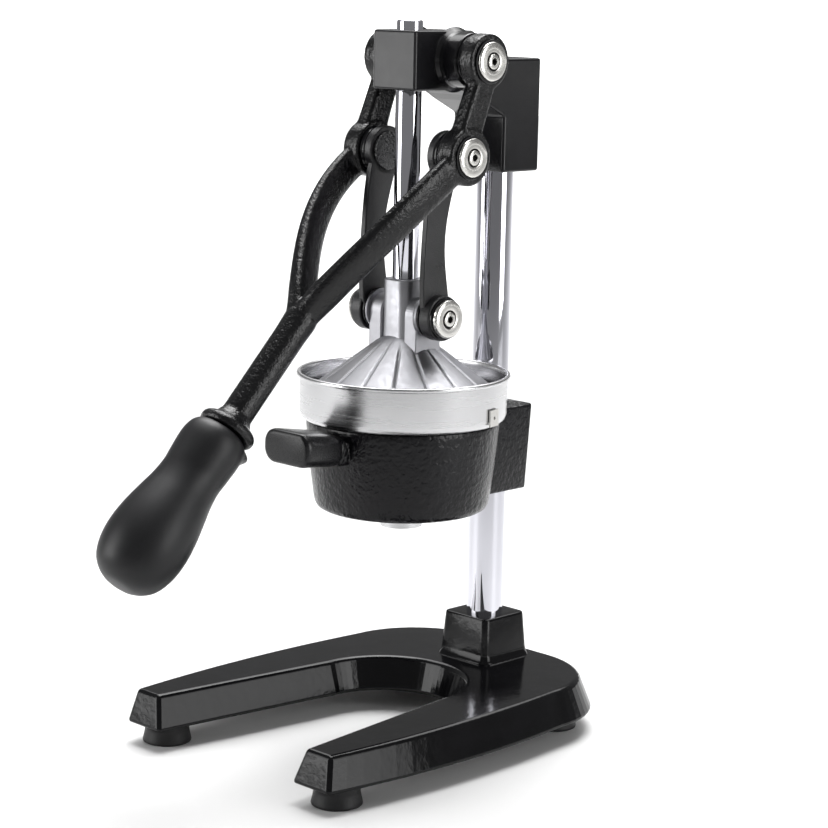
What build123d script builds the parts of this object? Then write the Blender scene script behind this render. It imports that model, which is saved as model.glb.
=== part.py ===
from build123d import *
import os
from math import atan2, cos, degrees, pi, radians, sin

os.makedirs("parts", exist_ok=True)

# Driving dimensions, millimetres. X is across, -Y is the user's side, Z is up.
COLUMN_Y = 128.0
PRESS_Y = COLUMN_Y - 74.0
COLUMN_R = 11.0
ROD_R = 7.5
TOTAL_HEIGHT = 417.8
FOOT_H = 11.7
BASE_TOP = 32.1
SOCKET_TOP = 59.0
OPENING_R = 48.0
OPENING_Y = 43.0
HEAD_BOTTOM = 378.5
HEAD_TOP = 412.3
HEAD_HALF = 17.0
BLOCK_HALF = 20.5
BLOCK_BOTTOM = 330.0
BLOCK_TOP = 396.3
HOLDER_TOP = 188.45
HOLDER_BOTTOM = 135.5
HOLDER_R = 56.5
PAN_FLOOR = 188.5
PAN_RIM = 216.2
PAN_R = 60.5
SPOUT_R = 12.4
SPOUT_END = 124.5
SHEET = 1.0
CAP_R = 11.0
SHAFT_R = 6.0
# pivots as (y, z): upper at the head, middle at the lever, lower at the hood
UPPER = (74.9, 395.8)
MIDDLE = (60.5, 342.5)
LOWER = (PRESS_Y, 250.4)
FORK_END = (0.0, -24.0, 260.5)
COLLAR = (0.0, -80.9, 197.8)
HANDLE_ANGLE = 46.2
GRIP_LIFT = 2.6
GRIP_LENGTH = 106.0

SIDES = (-1, 1)
ACROSS = (0, 90, 0)


def between(low, high):
    """Middle and length of a span along X."""
    return (low + high) / 2, high - low


def spots(pivot, low, high):
    """Both mirrored positions of something that spans low..high in |x|."""
    middle = between(low, high)[0]
    return [(side * middle, pivot[0], pivot[1]) for side in SIDES]


# ---------------------------------------------------------------- base
def base_outline(flare, drop):
    """Half outline of the U-shaped base, mirrored; flare is how far the drafted sides stand out."""
    with BuildLine() as outline:
        side_end = (84 + flare * 1.2, 101)
        rear_start = (29, 156 + flare)
        arch_r = OPENING_R - flare
        toe_y = -78 - drop
        ThreePointArc((82.5 + flare * 0.6, toe_y), (88 + flare * 1.2, 2), side_end)
        ThreePointArc(side_end, (67.9 + flare * 0.9, 139.9 + flare * 0.9), rear_start)
        Line(rear_start, (0, 156 + flare))
        Line((0, 156 + flare), (0, OPENING_Y + arch_r))
        ThreePointArc(
            (0, OPENING_Y + arch_r),
            (arch_r * sin(pi / 4), OPENING_Y + arch_r * cos(pi / 4)),
            (arch_r, OPENING_Y),
        )
        ThreePointArc((arch_r, OPENING_Y), (56.5 - flare, -26), (63 - flare, toe_y))
        Line((63 - flare, toe_y), (82.5 + flare * 0.6, toe_y))
    make_face(outline.edges())
    mirror(about=Plane.YZ)


with BuildPart() as base_casting:
    with BuildSketch(Plane.XY.offset(FOOT_H)):
        base_outline(6.5, 5)
    with BuildSketch(Plane.XY.offset(BASE_TOP)):
        base_outline(0, 0)
    loft(ruled=True)
    top_edges = base_casting.faces().sort_by(Axis.Z)[-1].edges()
    chamfer(top_edges, length=1.0)
    with BuildSketch(Plane.XY.offset(SOCKET_TOP)):
        with Locations((0, COLUMN_Y)):
            RectangleRounded(35, 35, 4)
    extrude(amount=-(SOCKET_TOP - BASE_TOP + 6), taper=-4.0)
    fillet(base_casting.faces().sort_by(Axis.Z)[-1].edges(), radius=1.6)
    with Locations((0, COLUMN_Y, 24)):
        Cylinder(COLUMN_R, 60, align=(Align.CENTER, Align.CENTER, Align.MIN), mode=Mode.SUBTRACT)
    with Locations((0, COLUMN_Y, 0)):
        Cylinder(5.1, 40, align=(Align.CENTER, Align.CENTER, Align.MIN), mode=Mode.SUBTRACT)
        Cylinder(9.5, 18.5, align=(Align.CENTER, Align.CENTER, Align.MIN), mode=Mode.SUBTRACT)
    with Locations((72.6, -63.6, 0), (-72.6, -63.6, 0), (60, 126, 0), (-60, 126, 0)):
        Cylinder(2.5, 24, align=(Align.CENTER, Align.CENTER, Align.MIN), mode=Mode.SUBTRACT)
base_casting.part.label = "base_casting"
export_step(base_casting.part, "parts/base_casting.step")

# feet: turned rubber, the wider end on the table
FEET = [(72.6, -63.6), (-72.6, -63.6), (60, 126), (-60, 126)]
with BuildPart() as rubber_feet:
    for x, y in FEET:
        with BuildSketch(Plane((x, y, 0), x_dir=(1, 0, 0), z_dir=(0, -1, 0))):
            with BuildLine():
                Polyline((5.5, 0), (13.4, 0), (14.2, 0.8), (13.9, 3), (13, 8), (13, FOOT_H), (2.7, FOOT_H))
                Polyline((2.7, FOOT_H), (2.7, 6), (5.5, 6), (5.5, 0))
            make_face()
        revolve(axis=Axis((x, y, 0), (0, 0, 1)))
rubber_feet.part.label = "rubber_feet"
export_step(rubber_feet.part, "parts/rubber_feet.step")

with BuildPart() as foot_screws:
    for x, y in FEET:
        with Locations((x, y, 2.6)):
            Cylinder(4.8, 3.3, align=(Align.CENTER, Align.CENTER, Align.MIN))
        with Locations((x, y, 5.9)):
            Cylinder(2.45, 17.6, align=(Align.CENTER, Align.CENTER, Align.MIN))
        with BuildSketch(Plane.XY.offset(2.6)):
            with Locations((x, y)):
                Rectangle(6.0, 1.1)
                Rectangle(1.1, 6.0)
        extrude(amount=1.5, mode=Mode.SUBTRACT)
foot_screws.part.label = "foot_screws"
export_step(foot_screws.part, "parts/foot_screws.step")

with BuildPart() as column_bolt:
    with BuildSketch(Plane.XY.offset(12.6)):
        with Locations((0, COLUMN_Y)):
            RegularPolygon(8.4, 6)
    extrude(amount=5.8)
    with Locations((0, COLUMN_Y, 18.4)):
        Cylinder(5.0, 21, align=(Align.CENTER, Align.CENTER, Align.MIN))
column_bolt.part.label = "column_bolt"
export_step(column_bolt.part, "parts/column_bolt.step")

with BuildPart() as column_tube:
    with Locations((0, COLUMN_Y, 24.1)):
        Cylinder(COLUMN_R - 0.02, 365.4, align=(Align.CENTER, Align.CENTER, Align.MIN))
    with Locations((0, COLUMN_Y, 44)):
        Cylinder(COLUMN_R - 2.5, 360, align=(Align.CENTER, Align.CENTER, Align.MIN), mode=Mode.SUBTRACT)
    with Locations((0, COLUMN_Y, 0)):
        Cylinder(5.05, 41, align=(Align.CENTER, Align.CENTER, Align.MIN), mode=Mode.SUBTRACT)
column_tube.part.label = "column_tube"
export_step(column_tube.part, "parts/column_tube.step")

# ---------------------------------------------------------------- head
HEAD_FRONT = PRESS_Y - 12.6
BLOCK_FRONT = COLUMN_Y - 15.5
with BuildPart() as head_casting:
    with BuildSketch(Plane.YZ):
        with BuildLine():
            Polyline(
                (HEAD_FRONT, HEAD_BOTTOM), (HEAD_FRONT, HEAD_TOP), (88.3, HEAD_TOP), (93, 410.4),
                (BLOCK_FRONT, 399), (BLOCK_FRONT, 364), (86.7, 376), (82, HEAD_BOTTOM),
                (HEAD_FRONT, HEAD_BOTTOM),
            )
        make_face()
    extrude(amount=HEAD_HALF, both=True)
    fillet(head_casting.edges().filter_by(Axis.Z).sort_by(Axis.Y)[:2], radius=1.6)
    with BuildSketch(Plane.YZ):
        with BuildLine():
            Polyline(
                (84, 408), (91, 407.5), (BLOCK_FRONT, 397.5), (BLOCK_FRONT + 4, 360),
                (BLOCK_FRONT - 2.9, 363.2), (94.5, 371.8), (84, 380), (84, 408),
            )
        make_face()
    extrude(amount=BLOCK_HALF, both=True)
    with Locations((0, COLUMN_Y, BLOCK_BOTTOM)):
        Box(2 * BLOCK_HALF, 31, BLOCK_TOP - BLOCK_BOTTOM, align=(Align.CENTER, Align.CENTER, Align.MIN))
    fillet(head_casting.edges().filter_by(Axis.Z).sort_by(Axis.Y)[-2:], radius=2.0)
    fillet(head_casting.faces().sort_by(Axis.Z)[0].edges(), radius=1.2)
    with Locations(*[(side * 16, UPPER[0], UPPER[1]) for side in SIDES]):
        Cylinder(15.6, 30, rotation=ACROSS)
    with Locations((0, PRESS_Y, 350)):
        Cylinder(9.6, 80, align=(Align.CENTER, Align.CENTER, Align.MIN), mode=Mode.SUBTRACT)
    with Locations((0, COLUMN_Y, 300)):
        Cylinder(COLUMN_R, 90, align=(Align.CENTER, Align.CENTER, Align.MIN), mode=Mode.SUBTRACT)
    with Locations((0, UPPER[0], UPPER[1])):
        Cylinder(SHAFT_R, 80, rotation=ACROSS, mode=Mode.SUBTRACT)
    with Locations((0, COLUMN_Y + 12, 345), (0, COLUMN_Y + 12, 378)):
        Cylinder(3.0, 12, rotation=(90, 0, 0), mode=Mode.SUBTRACT)
head_casting.part.label = "head_casting"
export_step(head_casting.part, "parts/head_casting.step")

with BuildPart() as head_set_screws:
    with Locations((0, COLUMN_Y + 13.2, 345), (0, COLUMN_Y + 13.2, 378)):
        Cylinder(2.97, 4.2, rotation=(90, 0, 0))
    with BuildSketch(Plane.XZ.offset(-COLUMN_Y - 15.3)):
        with Locations((0, 345), (0, 378)):
            RegularPolygon(1.7, 6)
    extrude(amount=2.4, mode=Mode.SUBTRACT)
head_set_screws.part.label = "head_set_screws"
export_step(head_set_screws.part, "parts/head_set_screws.step")

with BuildPart() as rod_bushes:
    for low in (HEAD_BOTTOM + 0.2, HEAD_TOP - 12.2):
        with Locations((0, PRESS_Y, low)):
            Cylinder(9.58, 12, align=(Align.CENTER, Align.CENTER, Align.MIN))
    with Locations((0, PRESS_Y, 350)):
        Cylinder(ROD_R + 0.05, 80, align=(Align.CENTER, Align.CENTER, Align.MIN), mode=Mode.SUBTRACT)
rod_bushes.part.label = "rod_bushes"
export_step(rod_bushes.part, "parts/rod_bushes.step")

with BuildPart() as pivot_shaft:
    with Locations((0, UPPER[0], UPPER[1])):
        Cylinder(SHAFT_R - 0.02, 87.4, rotation=ACROSS)
    with Locations(*spots(UPPER, 34, 43.8)):
        Cylinder(2.55, 22, rotation=ACROSS, mode=Mode.SUBTRACT)
pivot_shaft.part.label = "pivot_shaft"
export_step(pivot_shaft.part, "parts/pivot_shaft.step")


def stack(pivot, rings):
    """Rings about a pivot on both sides, each (inner |x|, outer |x|, outside radius, hole radius)."""
    for low, high, outside, hole in rings:
        with Locations(*spots(pivot, low, high)):
            Cylinder(outside, high - low, rotation=ACROSS)
            Cylinder(hole, high - low + 0.01, rotation=ACROSS, mode=Mode.SUBTRACT)


def cap(pivot, low, high, side_list=SIDES):
    """Turned cap with a chamfered face and a screw seat."""
    for side in side_list:
        with BuildSketch(Plane((0, pivot[0], pivot[1]), x_dir=(side, 0, 0), z_dir=(0, -side, 0))) as half:
            with BuildLine():
                Polyline(
                    (low, 2.6), (low, CAP_R), (high - 0.8, CAP_R), (high, CAP_R - 0.9),
                    (high, 5.3), (high - 0.9, 5.1), (high - 0.9, 2.6), (low, 2.6),
                )
            make_face()
        revolve(half.sketch, axis=Axis((0, pivot[0], pivot[1]), (1, 0, 0)))


def cap_screw(pivot, low, high, side_list=SIDES):
    """Socket screw from |x| low to its head's face at |x| high."""
    for side in side_list:
        head = [(side * (high - 0.45), pivot[0], pivot[1])]
        shank = [(side * (low + high - 0.5) / 2, pivot[0], pivot[1])]
        with Locations(*head):
            Cylinder(4.9, 0.88, rotation=ACROSS)
        with Locations(*shank):
            Cylinder(2.5, high - 0.5 - low, rotation=ACROSS)
        socket = Plane((side * (high + 0.2), pivot[0], pivot[1]), x_dir=(0, 1, 0), z_dir=(-side, 0, 0))
        with BuildSketch(socket) as key:
            RegularPolygon(2.1, 6)
        extrude(key.sketch, amount=2.6, mode=Mode.SUBTRACT)


with BuildPart() as upper_rings:
    stack(UPPER, [(31.02, 32.7, 14.4, 6.05)])
upper_rings.part.label = "upper_rings"
export_step(upper_rings.part, "parts/upper_rings.step")

with BuildPart() as upper_washers:
    stack(UPPER, [(43.9, 44.7, 12.5, 2.6)])
upper_washers.part.label = "upper_washers"
export_step(upper_washers.part, "parts/upper_washers.step")

with BuildPart() as upper_caps:
    cap(UPPER, 44.72, 46.3)
upper_caps.part.label = "upper_caps"
export_step(upper_caps.part, "parts/upper_caps.step")

with BuildPart() as upper_screws:
    cap_screw(UPPER, 34.5, 46.3)
upper_screws.part.label = "upper_screws"
export_step(upper_screws.part, "parts/upper_screws.step")

# ---------------------------------------------------------------- lever
NECK = degrees(atan2(UPPER[1] - MIDDLE[1], UPPER[0] - MIDDLE[0]))
with BuildPart() as lever_casting:
    with Locations(*spots(UPPER, 33, 43.6)):
        Cylinder(15.6, 10.6, rotation=ACROSS)
    with Locations(*spots(MIDDLE, 32.2, 44.2)):
        Cylinder(16.3, 12, rotation=ACROSS)
    for side in SIDES:
        neck_middle = (side * 38.4, (UPPER[0] + MIDDLE[0]) / 2, (UPPER[1] + MIDDLE[1]) / 2)
        with Locations(Location(neck_middle, (NECK, 0, 0))):
            Box(10.2, 40, 16.4)
    for side in SIDES:
        start = (side * 38.15, 52.0, 339.3)
        with BuildLine() as fork_line:
            Spline(
                start, (side * 37.7, 29.5, 326.7), (side * 35.8, 14.5, 316.3), (side * 28.1, -0.5, 299.7),
                (side * 10.1, -15.5, 275.6), FORK_END,
            )
        with BuildSketch(Plane(start, x_dir=(1, 0, 0), z_dir=fork_line.line % 0)) as fork_section:
            Ellipse(5.8, 7.9)
        sweep(fork_section.sketch, path=fork_line.line)
    down = (0, -cos(radians(HANDLE_ANGLE)), -sin(radians(HANDLE_ANGLE)))
    shaft_top = (0, COLLAR[1] - down[1] * 88, COLLAR[2] - down[2] * 88)
    with BuildSketch(Plane(shaft_top, x_dir=(1, 0, 0), z_dir=down)):
        Circle(9.5)
    extrude(amount=88)
    with BuildSketch(Plane(COLLAR, x_dir=(1, 0, 0), z_dir=down).offset(-3)):
        Circle(16.75)
    extrude(amount=6)
    with Locations(*spots(UPPER, 33, 43.6)):
        Cylinder(SHAFT_R + 0.05, 12, rotation=ACROSS, mode=Mode.SUBTRACT)
    with Locations(*spots(MIDDLE, 32.2, 44.2)):
        Cylinder(SHAFT_R, 14, rotation=ACROSS, mode=Mode.SUBTRACT)
    with BuildSketch(Plane(COLLAR, x_dir=(1, 0, 0), z_dir=down).offset(4)):
        Circle(4.0)
    extrude(amount=-30, mode=Mode.SUBTRACT)
lever_casting.part.label = "lever_casting"
export_step(lever_casting.part, "parts/lever_casting.step")

HANDLE = Plane(COLLAR, x_dir=(1, 0, 0), z_dir=down)
with BuildPart() as grip_rod:
    with BuildSketch(HANDLE.offset(-24)):
        Circle(3.98)
    extrude(amount=108)
grip_rod.part.label = "grip_rod"
export_step(grip_rod.part, "parts/grip_rod.step")

# handle: a turned body, thin at the waist and round at the end, with a lip under its upper end
grip_axis = Plane(
    (0, COLLAR[1] + GRIP_LIFT * down[2], COLLAR[2] - GRIP_LIFT * down[1]), x_dir=(1, 0, 0), z_dir=down
)
turn_plane = Plane(grip_axis.origin, x_dir=(1, 0, 0), z_dir=grip_axis.y_dir)
with BuildPart() as lever_grip:
    with BuildSketch(turn_plane):
        with BuildLine():
            Line((0, -3.4), (14.5, -3.4))
            Spline((14.5, -3.4), (17.6, -7), (18.4, -14), (17.4, -32), (20.4, -50), (23.6, -76))
            Bezier((23.6, -76), (23.6, -92.6), (13, -GRIP_LENGTH), (0, -GRIP_LENGTH))
            Line((0, -GRIP_LENGTH), (0, -3.4))
        make_face()
    revolve(axis=Axis(grip_axis.origin, down))
    with BuildSketch(Plane.YZ):
        with Locations((COLLAR[0], 0)):
            with BuildLine():
                Polyline(
                    (COLLAR[1] + 7.0, COLLAR[2] - 14.0), (COLLAR[1] + 16.3, COLLAR[2] - 19.0),
                    (COLLAR[1] + 15.8, COLLAR[2] - 21.4), (COLLAR[1] + 5.0, COLLAR[2] - 25.0),
                    (COLLAR[1] - 4.0, COLLAR[2] - 22.0), (COLLAR[1] + 7.0, COLLAR[2] - 14.0),
                )
            make_face()
    extrude(amount=9, both=True)
    with BuildSketch(HANDLE.offset(-4)):
        Circle(19.5)
    extrude(amount=7.3, mode=Mode.SUBTRACT)
    with BuildSketch(HANDLE.offset(-4)):
        Circle(4.0)
    extrude(amount=89, mode=Mode.SUBTRACT)
lever_grip.part.label = "lever_grip"
export_step(lever_grip.part, "parts/lever_grip.step")

with BuildPart() as middle_pins:
    for side in SIDES:
        with Locations((side * 33.4, MIDDLE[0], MIDDLE[1])):
            Cylinder(SHAFT_R - 0.02, 21.6, rotation=ACROSS)
        with Locations((side * 21.6, MIDDLE[0], MIDDLE[1])):
            Cylinder(11.3, 2.0, rotation=ACROSS)
        with Locations((side * 39.5, MIDDLE[0], MIDDLE[1])):
            Cylinder(2.55, 12, rotation=ACROSS, mode=Mode.SUBTRACT)
middle_pins.part.label = "middle_pins"
export_step(middle_pins.part, "parts/middle_pins.step")

with BuildPart() as middle_rings:
    stack(MIDDLE, [(28.4, 30.2, 14.0, 6.0), (30.4, 32.18, 14.0, 6.0)])
middle_rings.part.label = "middle_rings"
export_step(middle_rings.part, "parts/middle_rings.step")

with BuildPart() as middle_washers:
    stack(MIDDLE, [(44.22, 45.1, 12.5, 2.6)])
middle_washers.part.label = "middle_washers"
export_step(middle_washers.part, "parts/middle_washers.step")

with BuildPart() as middle_caps:
    cap(MIDDLE, 45.12, 46.7)
middle_caps.part.label = "middle_caps"
export_step(middle_caps.part, "parts/middle_caps.step")

with BuildPart() as middle_screws:
    cap_screw(MIDDLE, 34.5, 46.7)
middle_screws.part.label = "middle_screws"
export_step(middle_screws.part, "parts/middle_screws.step")


# ---------------------------------------------------------------- links
def link_body(side):
    """Bowed flat link with a middle eye and a lower eye."""
    with BuildSketch(Plane.YZ.offset(side * 22.8)) as plate:
        with BuildLine():
            Spline(
                (MIDDLE[0] - 13.2, MIDDLE[1] - 5), (44.1, 315), (43.4, 299), (46.6, 273),
                (LOWER[0] - 12, LOWER[1] + 4),
            )
            Line((LOWER[0] - 12, LOWER[1] + 4), (LOWER[0] + 12, LOWER[1] + 4))
            Spline(
                (LOWER[0] + 12, LOWER[1] + 4), (62.5, 271.5), (59.0, 298), (59.9, 314),
                (MIDDLE[0] + 10, MIDDLE[1] - 10),
            )
            Line((MIDDLE[0] + 10, MIDDLE[1] - 10), (MIDDLE[0] - 13.2, MIDDLE[1] - 5))
        make_face()
    extrude(plate.sketch, amount=side * 4.4)
    with Locations((side * between(22.8, 28.1)[0], MIDDLE[0], MIDDLE[1])):
        Cylinder(14.2, 5.3, rotation=ACROSS)
    with Locations((side * between(24, 32)[0], LOWER[0], LOWER[1])):
        Cylinder(13.0, 8.0, rotation=ACROSS)
    with Locations((side * 22.9, LOWER[0], LOWER[1])):
        Cylinder(12.6, 2.15, rotation=ACROSS, mode=Mode.SUBTRACT)
    with Locations((side * 30, MIDDLE[0], MIDDLE[1])):
        Cylinder(SHAFT_R + 0.05, 40, rotation=ACROSS, mode=Mode.SUBTRACT)
    with Locations((side * 30, LOWER[0], LOWER[1])):
        Cylinder(SHAFT_R, 40, rotation=ACROSS, mode=Mode.SUBTRACT)


with BuildPart() as link_left:
    link_body(-1)
link_left.part.label = "link_left"
export_step(link_left.part, "parts/link_left.step")

with BuildPart() as link_right:
    link_body(1)
link_right.part.label = "link_right"
export_step(link_right.part, "parts/link_right.step")

for side, word in ((-1, "left"), (1, "right")):
    with BuildPart() as lower_pin:
        with Locations((side * between(21.5, 33.4)[0], LOWER[0], LOWER[1])):
            Cylinder(SHAFT_R - 0.02, 11.9, rotation=ACROSS)
            Cylinder(2.55, 12.2, rotation=ACROSS, mode=Mode.SUBTRACT)
    lower_pin.part.label = "lower_pin_" + word
    export_step(lower_pin.part, "parts/lower_pin_" + word + ".step")
    with BuildPart() as lower_rings:
        for low, high, outside in ((21.4, 22.6, 12.2), (22.7, 23.95, 11.4), (32.05, 33.4, 12.2)):
            with Locations((side * between(low, high)[0], LOWER[0], LOWER[1])):
                Cylinder(outside, high - low, rotation=ACROSS)
                Cylinder(SHAFT_R, 4, rotation=ACROSS, mode=Mode.SUBTRACT)
    lower_rings.part.label = "lower_rings_" + word
    export_step(lower_rings.part, "parts/lower_rings_" + word + ".step")
    with BuildPart() as lower_cap:
        cap(LOWER, 33.5, 36.4, [side])
    lower_cap.part.label = "lower_cap_" + word
    export_step(lower_cap.part, "parts/lower_cap_" + word + ".step")
    with BuildPart() as lower_screw:
        cap_screw(LOWER, 22, 36.4, [side])
    lower_screw.part.label = "lower_screw_" + word
    export_step(lower_screw.part, "parts/lower_screw_" + word + ".step")

# ---------------------------------------------------------------- hood and rod
press_axis = Axis((0, PRESS_Y, 0), (0, 0, 1))
press_plane = Plane((0, PRESS_Y, 0), x_dir=(1, 0, 0), z_dir=(0, -1, 0))
with BuildPart() as press_hood:
    with BuildSketch(press_plane):
        with BuildLine():
            Polyline(
                (0, 244), (6, 241.4), (21, 230.4), (54, 206), (54, 203.4), (51.5, 203.4), (11, 233.2),
                (0, 236), (0, 244),
            )
        make_face()
    revolve(axis=press_axis)
    with BuildSketch(Plane.XY.offset(270.6)):
        with Locations((0, PRESS_Y)):
            RectangleRounded(21, 21, 6.5)
    extrude(amount=-33)
    for side in SIDES:
        with BuildSketch(Plane.YZ.offset(side * 9.8)):
            with Locations(LOWER):
                Circle(10)
            with Locations((LOWER[0], (LOWER[1] + 236) / 2)):
                Rectangle(20, LOWER[1] - 236)
        extrude(amount=side * 9.8)
        with Locations((side * 20.3, LOWER[0], LOWER[1])):
            Cylinder(12, 1.4, rotation=ACROSS)
    for number in range(15):
        angle = -40 + 24 * number
        lean = Location((0, PRESS_Y, 0), (0, 0, angle)) * Location((37.5, 0, 218.2), (0, 36.5, 0))
        with Locations(lean):
            Box(34, 1.3, 2.0, mode=Mode.SUBTRACT)
    with Locations((0, PRESS_Y, 242)):
        Cylinder(ROD_R, 60, align=(Align.CENTER, Align.CENTER, Align.MIN), mode=Mode.SUBTRACT)
    with Locations((0, PRESS_Y, 200)):
        Cylinder(2.6, 60, align=(Align.CENTER, Align.CENTER, Align.MIN), mode=Mode.SUBTRACT)
press_hood.part.label = "press_hood"
export_step(press_hood.part, "parts/press_hood.step")

with BuildPart() as press_rod:
    with Locations((0, PRESS_Y, 242.1)):
        Cylinder(ROD_R - 0.01, TOTAL_HEIGHT - 242.1, align=(Align.CENTER, Align.CENTER, Align.MIN))
        chamfer(press_rod.edges().sort_by(Axis.Z)[-1], 0.8)
    with Locations((0, PRESS_Y, 230)):
        Cylinder(2.55, 28, align=(Align.CENTER, Align.CENTER, Align.MIN), mode=Mode.SUBTRACT)
press_rod.part.label = "press_rod"
export_step(press_rod.part, "parts/press_rod.step")

with BuildPart() as rod_screw:
    with Locations((0, PRESS_Y, 230.2)):
        Cylinder(5.0, 4.0, align=(Align.CENTER, Align.CENTER, Align.MIN))
        Cylinder(2.5, 26, align=(Align.CENTER, Align.CENTER, Align.MIN))
    with BuildSketch(Plane.XY.offset(230.2)):
        with Locations((0, PRESS_Y)):
            RegularPolygon(2.4, 6)
    extrude(amount=2.2, mode=Mode.SUBTRACT)
rod_screw.part.label = "rod_screw"
export_step(rod_screw.part, "parts/rod_screw.step")

# ---------------------------------------------------------------- pan and strainer
with BuildPart() as juice_pan:
    with BuildSketch(press_plane):
        with BuildLine():
            Polyline(
                (47, PAN_FLOOR), (56.5, PAN_FLOOR), (59.2, PAN_FLOOR + 1.3), (PAN_R, PAN_FLOOR + 4.4),
                (PAN_R, PAN_RIM - 2.8), (62.0, PAN_RIM - 2.4), (62.4, PAN_RIM - 1.1), (61.6, PAN_RIM),
                (60.2, PAN_RIM - 0.3), (PAN_R - SHEET, PAN_RIM - 2), (PAN_R - SHEET, PAN_FLOOR + 4.8),
                (58.4, PAN_FLOOR + 2.1), (56.2, PAN_FLOOR + SHEET), (47, PAN_FLOOR + SHEET), (47, PAN_FLOOR),
            )
        make_face()
    revolve(axis=press_axis)
juice_pan.part.label = "juice_pan"
export_step(juice_pan.part, "parts/juice_pan.step")

# funnel and spout, seamed to the edge of the pan's floor and passing down through the holder
with BuildPart() as pan_spout:
    with BuildSketch(press_plane):
        with BuildLine():
            Polyline(
                (SPOUT_R, SPOUT_END), (SPOUT_R, 158), (45, 185), (49.5, PAN_FLOOR - 1.0), (49.5, PAN_FLOOR - 0.02),
                (46.95, PAN_FLOOR - 0.02), (44.2, 185.8), (SPOUT_R - SHEET, 158.5), (SPOUT_R - SHEET, SPOUT_END),
                (SPOUT_R, SPOUT_END),
            )
        make_face()
    revolve(axis=press_axis)
pan_spout.part.label = "pan_spout"
export_step(pan_spout.part, "parts/pan_spout.step")

TAB_ANGLE = 13
with BuildPart() as pan_tab:
    with Locations(Location((0, PRESS_Y, 0), (0, 0, TAB_ANGLE)) * Location((PAN_R + 0.75, 0, 195.2))):
        Box(1.0, 9, 9.6)
        Cylinder(1.0, 3, rotation=ACROSS, mode=Mode.SUBTRACT)
pan_tab.part.label = "pan_tab"
export_step(pan_tab.part, "parts/pan_tab.step")

with BuildPart() as strainer_cone:
    with BuildSketch(press_plane):
        with BuildLine():
            Polyline((56.0, 189.6), (56.0, 190.9), (44, 190.9), (40, 197), (8, 220.5), (0, 222.6))
            Polyline((0, 222.6), (0, 221.2), (7.4, 219.2), (39, 196), (43.2, 189.6), (56.0, 189.6))
        make_face()
    revolve(axis=press_axis)
    for number in range(12):
        turn = Location((0, PRESS_Y, 0), (0, 0, 30 * number))
        with Locations(turn * Location((24, 0, 209.4), (0, 36.5, 0))):
            Box(34, 2.2, 3.2)
    for number in range(24):
        turn = Location((0, PRESS_Y, 0), (0, 0, 15 * number + 7.5))
        with Locations(turn * Location((47.2, 0, 190))):
            Box(4.6, 2.4, 8, mode=Mode.SUBTRACT)
strainer_cone.part.label = "strainer_cone"
export_step(strainer_cone.part, "parts/strainer_cone.step")

# ---------------------------------------------------------------- holder
with BuildPart() as bowl_holder:
    with BuildSketch(press_plane):
        with BuildLine():
            Polyline(
                (13.6, HOLDER_BOTTOM), (46.5, HOLDER_BOTTOM), (49.8, 136.8), (51.2, 140), (53.9, 159),
                (HOLDER_R, 186.7), (HOLDER_R - 0.8, HOLDER_TOP), (52.4, HOLDER_TOP), (51.8, 180), (49.4, 159),
                (46.8, 141), (13.6, 140.5), (13.6, HOLDER_BOTTOM),
            )
        make_face()
    revolve(axis=press_axis)
    with BuildSketch(Plane.XY.offset(189)):
        with Locations((0, COLUMN_Y - 1.25)):
            RectangleRounded(38, 39.5, 1.5)
    extrude(amount=-52, taper=2.6)
    with Locations((0, PRESS_Y, HOLDER_TOP)):
        Cylinder(62.8, 20, align=(Align.CENTER, Align.CENTER, Align.MIN), mode=Mode.SUBTRACT)
    with Locations((0, PRESS_Y, 141)):
        Cylinder(46.6, 60, align=(Align.CENTER, Align.CENTER, Align.MIN), mode=Mode.SUBTRACT)
    with BuildSketch(Plane.XZ.offset(8)):
        with Locations((0, 176.2)):
            RectangleRounded(24, 15.5, 3)
    extrude(amount=-12)
    with Locations((0, COLUMN_Y, 100)):
        Cylinder(COLUMN_R + 0.02, 120, align=(Align.CENTER, Align.CENTER, Align.MIN), mode=Mode.SUBTRACT)
    with Locations((0, COLUMN_Y + 13, 150), (0, COLUMN_Y + 13, 175)):
        Cylinder(3.0, 14, rotation=(90, 0, 0), mode=Mode.SUBTRACT)
    with BuildSketch(Plane.XZ.offset(9)):
        with Locations((0, 176.5)):
            Circle(2.5)
    extrude(amount=-16, mode=Mode.SUBTRACT)
bowl_holder.part.label = "bowl_holder"
export_step(bowl_holder.part, "parts/bowl_holder.step")

with BuildPart() as holder_set_screws:
    with Locations((0, COLUMN_Y + 13.6, 150), (0, COLUMN_Y + 13.6, 175)):
        Cylinder(2.97, 4.8, rotation=(90, 0, 0))
    with BuildSketch(Plane.XZ.offset(-COLUMN_Y - 16)):
        with Locations((0, 150), (0, 175)):
            RegularPolygon(1.7, 6)
    extrude(amount=2.4, mode=Mode.SUBTRACT)
holder_set_screws.part.label = "holder_set_screws"
export_step(holder_set_screws.part, "parts/holder_set_screws.step")

with BuildPart() as holder_grip:
    with BuildSketch(Plane.XZ.offset(8.02)):
        with Locations((0, 177.6)):
            RectangleRounded(31, 16.4, 6.5)
    with BuildSketch(Plane.XZ.offset(36)):
        with Locations((0, 180.7)):
            RectangleRounded(37, 17.5, 7)
    loft()
    with BuildSketch(Plane.XZ.offset(36)):
        with Locations((0, 180.7)):
            RectangleRounded(37, 17.5, 7)
    extrude(amount=2)
    fillet(holder_grip.faces().sort_by(Axis.Y)[0].edges(), radius=1.8)
    with BuildSketch(Plane.XZ.offset(8)):
        with Locations((0, 176.5)):
            Circle(2.5)
    extrude(amount=16, mode=Mode.SUBTRACT)
holder_grip.part.label = "holder_grip"
export_step(holder_grip.part, "parts/holder_grip.step")

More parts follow.
